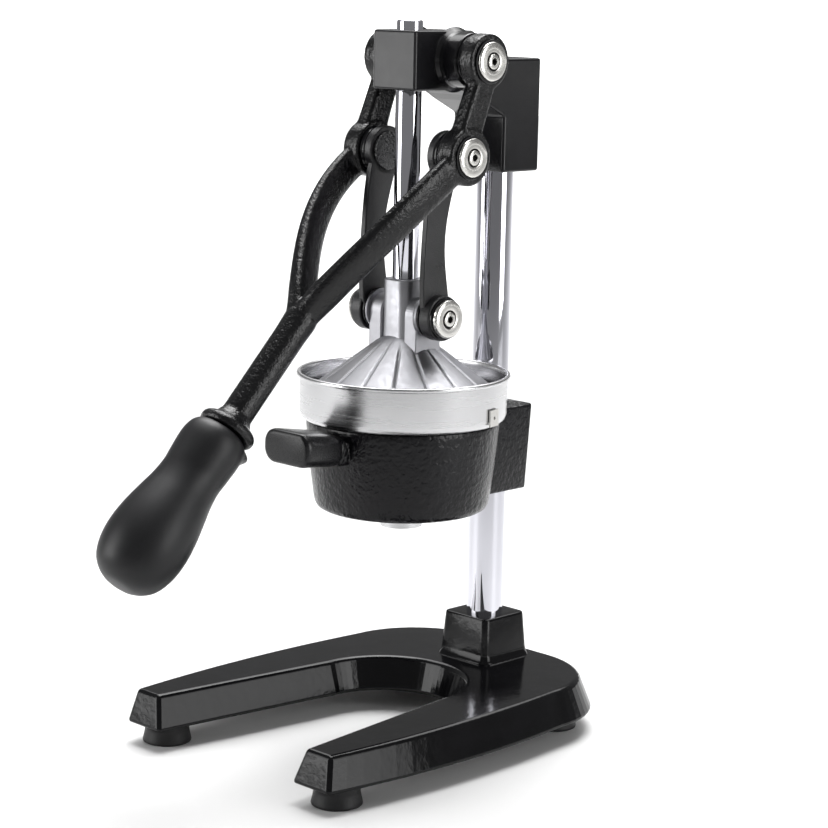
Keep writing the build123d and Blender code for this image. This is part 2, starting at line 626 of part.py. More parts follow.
with BuildPart() as holder_grip_screw:
    with BuildSketch(Plane.XZ.offset(22)):
        with Locations((0, 176.5)):
            Circle(2.45)
    extrude(amount=-21)
holder_grip_screw.part.label = "holder_grip_screw"
export_step(holder_grip_screw.part, "parts/holder_grip_screw.step")
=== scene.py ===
import math

import bmesh
import bpy
from mathutils import Matrix, Vector


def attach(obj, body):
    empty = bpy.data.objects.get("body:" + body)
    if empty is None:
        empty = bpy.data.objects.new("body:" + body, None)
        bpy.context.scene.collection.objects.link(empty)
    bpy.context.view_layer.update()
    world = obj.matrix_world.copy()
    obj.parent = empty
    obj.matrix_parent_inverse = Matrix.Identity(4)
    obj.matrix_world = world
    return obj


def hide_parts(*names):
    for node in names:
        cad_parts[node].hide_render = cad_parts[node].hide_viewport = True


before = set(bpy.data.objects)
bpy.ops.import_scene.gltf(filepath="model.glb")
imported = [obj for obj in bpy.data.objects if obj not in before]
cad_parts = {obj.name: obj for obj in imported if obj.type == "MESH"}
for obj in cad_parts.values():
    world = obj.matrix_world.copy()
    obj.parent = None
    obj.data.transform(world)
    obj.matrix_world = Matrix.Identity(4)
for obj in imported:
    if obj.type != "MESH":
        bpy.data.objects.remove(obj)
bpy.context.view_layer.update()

MM = 0.001

# millimetres: the lines that the press and the column stand on, the pivots as (y, z), and the lever's shaft
PRESS_Y = 54.0
COLUMN_Y = 128.0
UPPER = (74.9, 395.8)
MIDDLE = (60.5, 342.5)
LOWER = (54.0, 250.4)
COLLAR = (0.0, -80.9, 197.8)
SLOPE = math.radians(46.2)
DOWN = Vector((0.0, -math.cos(SLOPE), -math.sin(SLOPE)))


# ------------------------------------------------------------ workshop
def clear():
    if bpy.context.object and bpy.context.object.mode != "OBJECT":
        bpy.ops.object.mode_set(mode="OBJECT")
    bpy.ops.object.select_all(action="DESELECT")


def pick(*pieces):
    clear()
    for piece in pieces:
        piece.select_set(True)
    bpy.context.view_layer.objects.active = pieces[0]


def apply(piece, kind, **settings):
    pick(piece)
    modifier = piece.modifiers.new(kind.title(), kind)
    for key, value in settings.items():
        setattr(modifier, key, value)
    bpy.ops.object.modifier_apply(modifier=modifier.name)


def soften(piece, width, segments=4, angle=28):
    apply(
        piece, "BEVEL", width=width * MM, segments=segments, limit_method="ANGLE",
        angle_limit=math.radians(angle), harden_normals=True, miter_outer="MITER_ARC",
    )


def smooth(piece, angle=30):
    pick(piece)
    bpy.ops.object.shade_smooth_by_angle(angle=math.radians(angle))


def skin(name, rings, fill=(True, True), closed=False):
    """Draws one ring of points out through the next ones, then caps the ends."""
    count = len(rings[0])
    clear()
    bpy.ops.mesh.primitive_circle_add(vertices=count, radius=0.01)
    piece = bpy.context.object
    piece.name = name
    piece.data.name = name
    bpy.ops.object.mode_set(mode="EDIT")
    bpy.ops.mesh.select_mode(type="EDGE")
    bpy.ops.mesh.select_all(action="SELECT")
    mesh = bmesh.from_edit_mesh(piece.data)
    mesh.verts.ensure_lookup_table()
    for index in range(count):
        mesh.verts[index].co = Vector(rings[0][index]) * MM
    current = list(range(count))
    for ring in rings[1:]:
        mesh = bmesh.from_edit_mesh(piece.data)
        mesh.verts.ensure_lookup_table()
        seats = {}
        for index, vertex in enumerate(current):
            seats[tuple(round(c, 8) for c in mesh.verts[vertex].co)] = index
        bpy.ops.mesh.extrude_edges_move()
        mesh = bmesh.from_edit_mesh(piece.data)
        mesh.verts.ensure_lookup_table()
        current = [0] * count
        for vertex in mesh.verts:
            if vertex.select:
                index = seats[tuple(round(c, 8) for c in vertex.co)]
                current[index] = vertex.index
                vertex.co = Vector(ring[index]) * MM
    mesh = bmesh.from_edit_mesh(piece.data)
    mesh.verts.ensure_lookup_table()
    if closed:
        bpy.ops.mesh.select_all(action="SELECT")
        bpy.ops.mesh.remove_doubles(threshold=1e-6)
    else:
        for wanted, ring in zip(fill, (list(range(count)), current)):
            if not wanted:
                continue
            bpy.ops.mesh.select_all(action="DESELECT")
            mesh = bmesh.from_edit_mesh(piece.data)
            mesh.verts.ensure_lookup_table()
            ends = set(ring)
            for edge in mesh.edges:
                if edge.verts[0].index in ends and edge.verts[1].index in ends and edge.is_boundary:
                    edge.select = True
            bmesh.update_edit_mesh(piece.data)
            bpy.ops.mesh.edge_face_add()
    bpy.ops.mesh.select_all(action="SELECT")
    bpy.ops.mesh.normals_make_consistent(inside=False)
    bpy.ops.object.mode_set(mode="OBJECT")
    return piece


def turn(name, profile, count=96, fill=(True, True), closed=False):
    """Turned about Z: profile gives (radius, height) in millimetres."""
    rings = []
    for radius, height in profile:
        rings.append([
            (radius * math.cos(math.tau * k / count), radius * math.sin(math.tau * k / count), height)
            for k in range(count)
        ])
    return skin(name, rings, fill, closed)


def seat(piece, origin, direction=(0, 0, 1)):
    """Stands a piece that was made about Z on its own axis."""
    turned = Vector(direction).to_track_quat("Z", "Y").to_matrix().to_4x4()
    piece.data.transform(Matrix.Translation(Vector(origin) * MM) @ turned)
    piece.data.update()
    return piece


def unite(name, pieces):
    pick(*pieces)
    bpy.ops.object.join()
    joined = bpy.context.object
    joined.name = name
    joined.data.name = name
    return joined


def dress(piece, body, material, slot, *nodes):
    piece.data.materials.clear()
    piece.data.materials.append(material)
    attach(piece, body)
    if nodes:
        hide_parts(*nodes)
    return piece


def flow(points, steps):
    """Smooth line through the points."""
    points = [Vector(p) for p in points]
    line = []
    for index in range(len(points) - 1):
        before = points[max(index - 1, 0)]
        start, end = points[index], points[index + 1]
        after = points[min(index + 2, len(points) - 1)]
        for step in range(steps):
            t = step / steps
            line.append(0.5 * (
                2 * start + (end - before) * t + (2 * before - 5 * start + 4 * end - after) * t ** 2
                + (3 * start - before - 3 * end + after) * t ** 3
            ))
    line.append(points[-1])
    return line


def squared(width, depth, radius, height, corner=6, centre=(0.0, 0.0)):
    """Ring round a rectangle with rounded corners."""
    ring = []
    for quarter, (sx, sy) in enumerate(((1, 1), (-1, 1), (-1, -1), (1, -1))):
        for step in range(corner + 1):
            angle = math.pi / 2 * (quarter + step / corner)
            ring.append((
                centre[0] + sx * (width / 2 - radius) + radius * math.cos(angle),
                centre[1] + sy * (depth / 2 - radius) + radius * math.sin(angle),
                height,
            ))
    return ring


def slab(name, outline, low, high, edge, segments=4):
    """Flat casting: a side outline of (y, z) points pulled across from x = low to x = high."""
    rings = [[(x, y, z) for y, z in outline] for x in (low, high)]
    piece = skin(name, rings)
    if edge:
        soften(piece, edge, segments)
    return piece


# ------------------------------------------------------------ finishes
def finish_for(name, colour, metallic, roughness):
    material = bpy.data.materials.new(name)
    material.use_nodes = True
    tree = material.node_tree
    shader = tree.nodes["Principled BSDF"]
    shader.inputs["Base Color"].default_value = (*colour, 1)
    shader.inputs["Metallic"].default_value = metallic
    shader.inputs["Roughness"].default_value = roughness
    return material, tree, shader


def grain(tree, scale, stretch=(1, 1, 1), detail=3.0, roughness=0.55, centre=(0, 0, 0), turned=(0, 0, 0)):
    coordinates = tree.nodes.new("ShaderNodeTexCoord")
    mapping = tree.nodes.new("ShaderNodeMapping")
    mapping.inputs["Location"].default_value = centre
    mapping.inputs["Rotation"].default_value = turned
    mapping.inputs["Scale"].default_value = stretch
    noise = tree.nodes.new("ShaderNodeTexNoise")
    noise.inputs["Scale"].default_value = scale
    noise.inputs["Detail"].default_value = detail
    noise.inputs["Roughness"].default_value = roughness
    tree.links.new(coordinates.outputs["Object"], mapping.inputs["Vector"])
    tree.links.new(mapping.outputs["Vector"], noise.inputs["Vector"])
    return noise.outputs["Fac"]


def spread(tree, value, low, high, start=0.3, end=0.7):
    ramp = tree.nodes.new("ShaderNodeMapRange")
    ramp.inputs["From Min"].default_value = start
    ramp.inputs["From Max"].default_value = end
    ramp.inputs["To Min"].default_value = low
    ramp.inputs["To Max"].default_value = high
    tree.links.new(value, ramp.inputs["Value"])
    return ramp.outputs["Result"]


def tint(tree, value, dark, light, start=0.3, end=0.7):
    ramp = tree.nodes.new("ShaderNodeValToRGB")
    ramp.color_ramp.elements[0].position = start
    ramp.color_ramp.elements[1].position = end
    ramp.color_ramp.elements[0].color = (*dark, 1)
    ramp.color_ramp.elements[1].color = (*light, 1)
    tree.links.new(value, ramp.inputs["Fac"])
    return ramp.outputs["Color"]


def raise_up(tree, shader, value, strength, distance):
    bump = tree.nodes.new("ShaderNodeBump")
    bump.inputs["Strength"].default_value = strength
    bump.inputs["Distance"].default_value = distance
    previous = shader.inputs["Normal"].links
    if previous:
        tree.links.new(previous[0].from_socket, bump.inputs["Normal"])
    tree.links.new(value, bump.inputs["Height"])
    tree.links.new(bump.outputs["Normal"], shader.inputs["Normal"])


def enamel(name, colour, roughness, peel_scale, peel, pebble_scale=0, pebble=0, shine=0.5, coat=0.0):
    """Black enamel: slow drift of colour and gloss, orange peel, and a coarser cast skin under it."""
    material, tree, shader = finish_for(name, colour, 0.0, roughness)
    shader.inputs["Specular IOR Level"].default_value = shine
    shader.inputs["Coat Weight"].default_value = coat
    shader.inputs["Coat Roughness"].default_value = 0.05
    patches = grain(tree, 38, detail=4)
    dark = tuple(c * 0.7 for c in colour)
    light = tuple(c * 1.4 for c in colour)
    tree.links.new(tint(tree, patches, dark, light), shader.inputs["Base Color"])
    tree.links.new(spread(tree, patches, roughness * 0.8, roughness * 1.25), shader.inputs["Roughness"])
    raise_up(tree, shader, grain(tree, peel_scale, detail=2), peel, 0.0003)
    if pebble:
        raise_up(tree, shader, grain(tree, pebble_scale, detail=1.5), pebble, 0.0010)
    return material


def moulded(name, colour, roughness, scale, strength):
    material, tree, shader = finish_for(name, colour, 0.0, roughness)
    shader.inputs["Specular IOR Level"].default_value = 0.34
    broad = grain(tree, 30, detail=3)
    fine = grain(tree, scale, detail=4)
    dark = tuple(c * 0.85 for c in colour)
    light = tuple(c * 1.2 for c in colour)
    tree.links.new(tint(tree, broad, dark, light), shader.inputs["Base Color"])
    tree.links.new(spread(tree, fine, roughness * 0.9, roughness * 1.12), shader.inputs["Roughness"])
    raise_up(tree, shader, fine, strength, 0.0003)
    return material


def metal(name, colour, low, high, scale, stretch, strength, anisotropy=0.0):
    material, tree, shader = finish_for(name, colour, 1.0, (low + high) / 2)
    shader.inputs["Anisotropic"].default_value = anisotropy
    lines = grain(tree, scale, stretch=stretch, detail=5)
    broad = grain(tree, 22, detail=2)
    tree.links.new(spread(tree, lines, low, high), shader.inputs["Roughness"])
    tree.links.new(tint(tree, broad, tuple(c * 0.94 for c in colour), colour), shader.inputs["Base Color"])
    if strength:
        raise_up(tree, shader, lines, strength, 0.0002)
    return material


gloss_black = enamel("gloss_black_enamel", (0.003, 0.003, 0.0035), 0.12, 420, 0.16, 140, 0.09, 0.20)
lever_black = enamel("lever_black_enamel", (0.0025, 0.0025, 0.003), 0.22, 900, 1.0, 340, 0.45, 0.36)
head_black = enamel("head_black_enamel", (0.006, 0.006, 0.007), 0.17, 700, 0.05, 0, 0, 0.32)
cup_black = enamel("cup_black_enamel", (0.003, 0.003, 0.004), 0.22, 800, 0.75, 300, 0.70, 0.26)
link_black = enamel("link_black_enamel", (0.008, 0.008, 0.009), 0.32, 1300, 0.60, 420, 0.12, 0.48)
pin_black = enamel("pebbled_black_enamel", (0.006, 0.006, 0.007), 0.26, 1300, 1.0, 640, 0.85, 0.70)
ring_black = enamel("ring_black_steel", (0.003, 0.003, 0.004), 0.16, 900, 0.06, 0, 0, 0.36)
# painted shade: flat black for the insides of the cap wells and screw sockets, standing for the shade that
# falls in these recesses
painted_shade_black = enamel("painted_recess_shade", (0.003, 0.003, 0.003), 0.45, 1500, 0.10, 0, 0, 0.2)
soft_black = moulded("soft_black_grip", (0.006, 0.006, 0.007), 0.42, 1900, 0.14)
bar_black = moulded("bar_black_plastic", (0.006, 0.006, 0.007), 0.28, 1400, 0.06)
foot_rubber = moulded("foot_rubber", (0.004, 0.004, 0.0045), 0.50, 900, 0.2)
chrome = metal("chrome_plate", (0.66, 0.66, 0.71), 0.03, 0.06, 60, (1, 1, 0.15), 0.0)
cap_metal = metal("turned_cap_steel", (0.74, 0.73, 0.70), 0.16, 0.26, 500, (1, 1, 1), 0.05)
screw_metal = metal("screw_steel", (0.50, 0.50, 0.52), 0.18, 0.28, 500, (1, 1, 1), 0.05)
hood_metal = metal("cast_hood_aluminium", (0.36, 0.36, 0.38), 0.36, 0.50, 320, (1, 1, 1), 0.10)
pan_metal = metal("brushed_pan_steel", (0.62, 0.62, 0.63), 0.20, 0.30, 260, (0.05, 0.05, 3.0), 0.06, 0.3)
bronze = metal("bush_bronze", (0.45, 0.32, 0.17), 0.35, 0.5, 700, (1, 1, 1), 0.1)


# ------------------------------------------------------------ base
def arc_through(start, middle, end, steps):
    """Points along the round arc that runs from the start, through the middle, to the end."""
    (ax, ay), (bx, by), (cx, cy) = start, middle, end
    a_out = ax * ax + ay * ay
    b_out = bx * bx + by * by
    c_out = cx * cx + cy * cy
    d = 2 * (ax * (by - cy) + bx * (cy - ay) + cx * (ay - by))
    ux = (a_out * (by - cy) + b_out * (cy - ay) + c_out * (ay - by)) / d
    uy = (a_out * (cx - bx) + b_out * (ax - cx) + c_out * (bx - ax)) / d
    radius = math.hypot(ax - ux, ay - uy)
    first = math.atan2(ay - uy, ax - ux)
    sweep = math.remainder(math.atan2(cy - uy, cx - ux) - first, math.tau)
    line = []
    for step in range(steps + 1):
        angle = first + sweep * step / steps
        line.append((ux + radius * math.cos(angle), uy + radius * math.sin(angle)))
    return line


def base_ring(flare, drop, height):
    """U-shaped outline: leg, rear corner, rear edge, other side, arch."""
    toe = -78 - drop
    arch_r = 48.0 - flare
    inner = arc_through((63 - flare, toe), (56.5 - flare, -26), (arch_r, 43), 12)
    outer = arc_through((82.5 + flare * 0.6, toe), (88 + flare * 1.2, 2), (84 + flare * 1.2, 101), 16)
    corner = (67.9 + flare * 0.9, 139.9 + flare * 0.9)
    bend = arc_through((84 + flare * 1.2, 101), corner, (29, 156 + flare), 16)
    quarter = [math.pi / 2 * k / 20 for k in range(1, 21)]
    arch = [(arch_r * math.cos(a), 43 + arch_r * math.sin(a)) for a in quarter]
    right = inner[::-1] + outer + bend[1:]
    half = arch[::-1] + right
    mirrored = [(-x, y) for x, y in half[::-1] if abs(x) > 1e-6]
    return [(x, y, height) for x, y in half + mirrored]


base_shell = skin("base_shell", [base_ring(6.5, 5, 11.7), base_ring(0, 0, 32.1)])
soften(base_shell, 2.6, 5, 30)
dress(base_shell, "frame", gloss_black, "cast_black", "base_casting")

# height, width and corner radius of each level
socket_levels = [
    (30.0, 44.5, 9.0), (32.2, 43.6, 8.0), (33.2, 41.2, 6.0), (34.8, 39.6, 5.0), (37.4, 38.6, 4.2),
    (57.4, 35.8, 4.0), (58.4, 35.2, 3.7), (58.9, 34.2, 3.2), (59.0, 32.8, 2.5), (59.0, 23.2, 2.0),
]
socket = skin("column_socket", [squared(w, w, r, z, 6, (0, COLUMN_Y)) for z, w, r in socket_levels])
smooth(socket, 50)
dress(socket, "frame", gloss_black, "cast_black")

feet = []
for side in (-1, 1):
    for fx, fy in ((72.6, -63.6), (60.0, 126.0)):
        foot = turn("foot", [
            (5.5, 5.8), (5.5, 0.6), (6.1, 0.0), (13.2, 0.0), (14.0, 0.4), (14.2, 1.1), (14.0, 2.2),
            (13.3, 5.2), (12.9, 7.6), (12.9, 8.4), (13.2, 9.0), (13.1, 11.65), (2.6, 11.65),
        ], 64)
        feet.append(seat(foot, (side * fx, fy, 0)))
feet = unite("rubber_feet_turned", feet)
smooth(feet, 35)
dress(feet, "frame", foot_rubber, "rubber", "rubber_feet")

# ------------------------------------------------------------ column and rod
column = turn("column_polished", [(8.5, 40), (10.98, 40), (10.98, 389.2), (8.5, 389.2)], 160)
seat(column, (0, COLUMN_Y, 0))
smooth(column)
dress(column, "frame", chrome, "chrome", "column_tube")

rod_line = [(4.0, 244), (7.49, 244), (7.49, 416.9), (7.2, 417.5), (6.6, 417.8), (2.0, 417.8)]
rod = turn("rod_polished", rod_line, 128)
seat(rod, (0, PRESS_Y, 0))
smooth(rod, 50)
dress(rod, "plunger", chrome, "chrome", "press_rod")

# ------------------------------------------------------------ head
arm = slab("head_arm", [
    (41.4, 378.5), (41.4, 412.3), (88.3, 412.3), (93.5, 409.6), (118.0, 396.0), (118.0, 362.0),
    (86.7, 376.0), (82.0, 378.5),
], -17, 17, 1.7)
block = slab("head_block", [
    (86.0, 404.5), (92.5, 405.6), (112.5, 397.4), (116.0, 396.3), (143.5, 396.3), (143.5, 330),
    (112.5, 330), (112.5, 363.2), (94.5, 371.8), (86.0, 376.5),
], -20.5, 20.5, 1.7)
boss_line = [
    (18.6, 15.5), (17.2, 17.4), (16.1, 19.0), (15.6, 21.2), (15.6, 29.9), (15.3, 30.6), (14.6, 31.0),
    (6.1, 31.0),
]
bosses = []
for side in (-1, 1):
    boss = turn("boss", boss_line, 96)
    bosses.append(seat(boss, (0, UPPER[0], UPPER[1]), (side, 0, 0)))
head = unite("head_cast", [arm, block] + bosses)
dress(head, "frame", head_black, "cast_black", "head_casting")


def ring_pair(name, body, pivot, profile, material, slot, nodes, sides=(-1, 1), count=96):
    made = []
    for side in sides:
        piece = turn(name, profile, count, closed=True)
        made.append(seat(piece, (0, pivot[0], pivot[1]), (side, 0, 0)))
    piece = unite(name, made) if len(made) > 1 else made[0]
    smooth(piece, 40)
    return dress(piece, body, material, slot, *nodes)


def washer(low, high, outside, hole, edge=0.25):
    return [
        (hole, low), (outside - edge, low), (outside, low + edge), (outside, high - edge),
        (outside - edge, high), (hole, high), (hole, low),
    ]


def cap_profile(low, high):
    return [
        (2.6, low), (10.7, low), (11.0, low + 0.3), (11.0, high - 0.9), (10.75, high - 0.35), (10.1, high),
        (5.75, high), (5.4, high - 0.12), (5.3, high - 0.4), (5.25, high - 1.35), (2.6, high - 1.35),
        (2.6, low),
    ]


def paint_recess_shade(piece, pivot, radius, material):
    """Faces nearer the pivot's axis than the radius take the second material: painted shade, flat black
    standing for the shade inside the hole.
    """
    piece.data.materials.append(material)
    for face in piece.data.polygons:
        if math.hypot(face.center.y / MM - pivot[0], face.center.z / MM - pivot[1]) < radius:
            face.material_index = 1


def socket_screw(name, body, pivot, low, high, nodes, sides=(-1, 1)):
    made = []
    for side in sides:
        count = 48
        circle = [(math.cos(math.tau * k / count), math.sin(math.tau * k / count)) for k in range(count)]
        hexed = []
        for k in range(count):
            from_flat = (math.tau * k / count + math.pi / 6) % (math.pi / 3) - math.pi / 6
            hexed.append(1.85 / math.cos(from_flat))
        shank_and_head = (
            (2.4, low), (2.4, high - 1.3), (4.3, high - 1.3), (4.3, high + 0.1), (4.15, high + 0.4),
            (3.8, high + 0.6),
        )
        rings = []
        for radius, height in shank_and_head:
            rings.append([(radius * x, radius * y, height) for x, y in circle])
        rings.append([(h * 1.06 * x, h * 1.06 * y, high + 0.62) for h, (x, y) in zip(hexed, circle)])
        rings.append([(h * x, h * y, high + 0.45) for h, (x, y) in zip(hexed, circle)])
        rings.append([(h * x, h * y, high - 2.0) for h, (x, y) in zip(hexed, circle)])
        screw = skin(name, rings)
        made.append(seat(screw, (0, pivot[0], pivot[1]), (side, 0, 0)))
    piece = unite(name, made) if len(made) > 1 else made[0]
    smooth(piece, 35)
    dress(piece, body, cap_metal, "screw_steel", *nodes)
    # painted shade: the hex socket's inside is coloured black to stand for its shade
    paint_recess_shade(piece, pivot, 1.95, painted_shade_black)
    return piece


ring_pair("upper_ring", "frame", UPPER, washer(31.05, 32.7, 14.4, 6.1, 0.5), ring_black, "dark_ring",
    ["upper_rings"])
ring_pair("upper_washer", "frame", UPPER, washer(43.9, 44.7, 12.5, 2.7), ring_black, "dark_ring",
    ["upper_washers"])
upper_cap = ring_pair("upper_cap", "frame", UPPER, cap_profile(44.72, 46.3), cap_metal, "cap_steel",
    ["upper_caps"])
# painted shade: the cap's well round the screw head is coloured black to stand for its shade
paint_recess_shade(upper_cap, UPPER, 5.3, painted_shade_black)
socket_screw("upper_cap_screw", "frame", UPPER, 34.5, 46.28, ["upper_screws"])

ring_pair("middle_washer", "lever", MIDDLE, washer(44.22, 45.1, 12.5, 2.7), ring_black, "dark_ring",
    ["middle_washers"])
middle_cap = ring_pair("middle_cap", "lever", MIDDLE, cap_profile(45.12, 46.7), cap_metal, "cap_steel",
    ["middle_caps"])
# painted shade: the cap's well round the screw head is coloured black to stand for its shade
paint_recess_shade(middle_cap, MIDDLE, 5.3, painted_shade_black)
socket_screw("middle_cap_screw", "lever", MIDDLE, 34.5, 46.68, ["middle_screws"])
rings = []
for low, high in ((28.4, 30.2), (30.4, 32.18)):
    for side in (-1, 1):
        ring = turn("ring", washer(low, high, 14.0, 6.05, 0.5), 96, closed=True)
        rings.append(seat(ring, (0, MIDDLE[0], MIDDLE[1]), (side, 0, 0)))
rings = unite("middle_ring", rings)
smooth(rings, 40)
dress(rings, "lever", ring_black, "cap_steel", "middle_rings")
pin_line = [
    (2.0, 20.6), (10.2, 20.6), (11.0, 20.9), (11.3, 21.5), (11.3, 22.6), (5.98, 22.6), (5.98, 44.1),
    (2.6, 44.1),
]
pins = []
for side in (-1, 1):
    pin = turn("pin", pin_line, 96)
    pins.append(seat(pin, (0, MIDDLE[0], MIDDLE[1]), (side, 0, 0)))
pins = unite("middle_pin", pins)
smooth(pins, 40)
dress(pins, "lever", pin_black, "dark_ring", "middle_pins")


# ------------------------------------------------------------ lever
def oval_ring(centre, along, across, wide, tall, count=40, square=1.0):
    """Ring across a bar; square below 1 flattens the sides towards a rounded rectangle."""
    along = Vector(along).normalized()
    across = Vector(across)
    across = (across - along * across.dot(along)).normalized()
    up = along.cross(across)
    ring = []
    for k in range(count):
        c, s = math.cos(math.tau * k / count), math.sin(math.tau * k / count)
        side_step = math.copysign(abs(c) ** square, c) * wide
        up_step = math.copysign(abs(s) ** square, s) * tall
        ring.append(tuple(Vector(centre) + across * side_step + up * up_step))
    return ring


def bend_between(start, start_pull, end_pull, end, steps):
    """Curve that leaves the start towards one pull point and arrives at the end from the other."""
    line = []
    for step in range(steps + 1):
        t = step / steps
        r = 1 - t
        line.append(start * r ** 3 + start_pull * 3 * r * r * t + end_pull * 3 * r * t * t + end * t ** 3)
    return line


# each arm leaves its joint on a straight slope, flares a little, and turns in to the shaft's axis
ARM_X = 38.2
ARM_SLOPE = math.radians(30)
ARM_PULL = 66.0
ARM_FLARE = 9.0
ARM_REACH = 68.0
ARM_BLEND = 24.0
# half width and half height of an arm's section, from the joint to the shaft
ARM_HALF_WIDE = 4.2
ARM_WIDENS = 2.4
ARM_HALF_TALL = 9.7
ARM_LOWERS = 3.3
ARM_LOWERS_FROM = 0.72
ARM_LOWERS_OVER = 0.28
ARM_SQUARE = 0.74
SHAFT_LENGTH = 86
SHAFT_STEP = 4.0
eye_line = [(14.9, 33.0), (15.4, 33.3), (15.6, 34.0), (15.6, 42.6), (15.4, 43.3), (14.9, 43.6)]
joint_line = [(15.5, 32.2), (16.1, 32.5), (16.3, 33.2), (16.3, 43.2), (16.1, 43.9), (15.5, 44.2)]
parts = []
for side in (-1, 1):
    joint = Vector((side * ARM_X, MIDDLE[0], MIDDLE[1]))
    meet = Vector(COLLAR) - DOWN * ARM_REACH
    leave = Vector((side * ARM_FLARE, -math.cos(ARM_SLOPE) * ARM_PULL, -math.sin(ARM_SLOPE) * ARM_PULL))
    path = bend_between(joint, joint + leave, meet - DOWN * ARM_BLEND, meet, 44)
    rings = []
    for index, point in enumerate(path):
        ahead = path[min(index + 1, len(path) - 1)] - path[max(index - 1, 0)]
        growth = index / (len(path) - 1)
        wide = ARM_HALF_WIDE + ARM_WIDENS * growth ** 2
        tall = ARM_HALF_TALL - ARM_LOWERS * max(0.0, growth - ARM_LOWERS_FROM) / ARM_LOWERS_OVER
        rings.append(oval_ring(point, ahead, (1, 0, 0), wide, tall, 48, ARM_SQUARE))
    parts.append(skin("fork_arm", rings))
    parts.append(seat(turn("eye", eye_line, 72), (0, UPPER[0], UPPER[1]), (side, 0, 0)))
    parts.append(seat(turn("joint", joint_line, 72), (0, MIDDLE[0], MIDDLE[1]), (side, 0, 0)))
    neck = [
        (UPPER[0] - 7.6, UPPER[1] - 6), (UPPER[0] + 8.0, UPPER[1] - 9),
        (MIDDLE[0] + 9.0, MIDDLE[1] + 8), (MIDDLE[0] - 8.4, MIDDLE[1] + 12),
    ]
    low, high = sorted((side * 33.2, side * 43.4))
    parts.append(slab("neck", neck, low, high, 2.6))
top = Vector(COLLAR) - DOWN * SHAFT_LENGTH
shaft_rings = []
for step in range(22):
    along = step * SHAFT_STEP
    wide = 9.5 + 0.5 * math.cos(min(along / 22, 1) * math.pi)
    wide = wide - 5.5 * max(0.0, 1 - along / 10) ** 2
    shaft_rings.append(oval_ring(top + DOWN * along, DOWN, (1, 0, 0), wide, wide, 56))
parts.append(skin("shaft", shaft_rings))
flange = turn("flange", [
    (9.6, -9.0), (10.8, -6.0), (12.4, -4.6), (14.9, -3.6), (16.2, -2.2), (16.7, -0.2), (16.3, 1.8),
    (15.0, 3.0), (4.0, 3.3),
], 96)
parts.append(seat(flange, COLLAR, DOWN))
lever = unite("lever_cast", parts)
apply(lever, "REMESH", mode="VOXEL", voxel_size=0.00085)
apply(lever, "SMOOTH", factor=0.6, iterations=7)
smooth(lever, 180)
dress(lever, "lever", lever_black, "cast_black", "lever_casting")

# ------------------------------------------------------------ handle
LIFT = 2.6
LIP_REACH = 7.4
LIP_PLACE = 7.2
LIP_LENGTH = 4.4
LIP_LEAN = 2.0
handle_at = Vector(COLLAR) + Vector((0, DOWN.z * LIFT, -DOWN.y * LIFT))
body_line = flow([
    (11.5, 3.4, 0), (14.6, 4.2, 0), (16.6, 6.4, 0), (17.9, 10, 0), (18.5, 16, 0), (18.0, 26, 0),
    (17.5, 34, 0), (18.4, 43, 0), (20.4, 53, 0), (22.6, 65, 0), (23.55, 76, 0), (22.9, 86, 0),
    (20.3, 95, 0), (16.0, 101, 0), (9.5, 105, 0), (3.0, 105.9, 0),
], 4)
under = Vector((0, -DOWN.z, DOWN.y))
grip_rings = []
for point in body_line:
    radius, along = point.x, point.y
    ring = []
    for k in range(96):
        angle = math.tau * k / 96
        lip = max(0.0, math.cos(angle)) ** 9
        reach = LIP_REACH * math.exp(-((along - LIP_PLACE) / LIP_LENGTH) ** 2) * lip
        outward = under * math.cos(angle) + Vector((1, 0, 0)) * math.sin(angle)
        spot = handle_at + DOWN * along + outward * (radius + reach)
        ring.append(tuple(spot - DOWN * LIP_LEAN * (reach / LIP_REACH)))
    grip_rings.append(ring)
grip = skin("lever_handle", grip_rings)
smooth(grip, 60)
dress(grip, "lever", soft_black, "grip_black", "lever_grip")

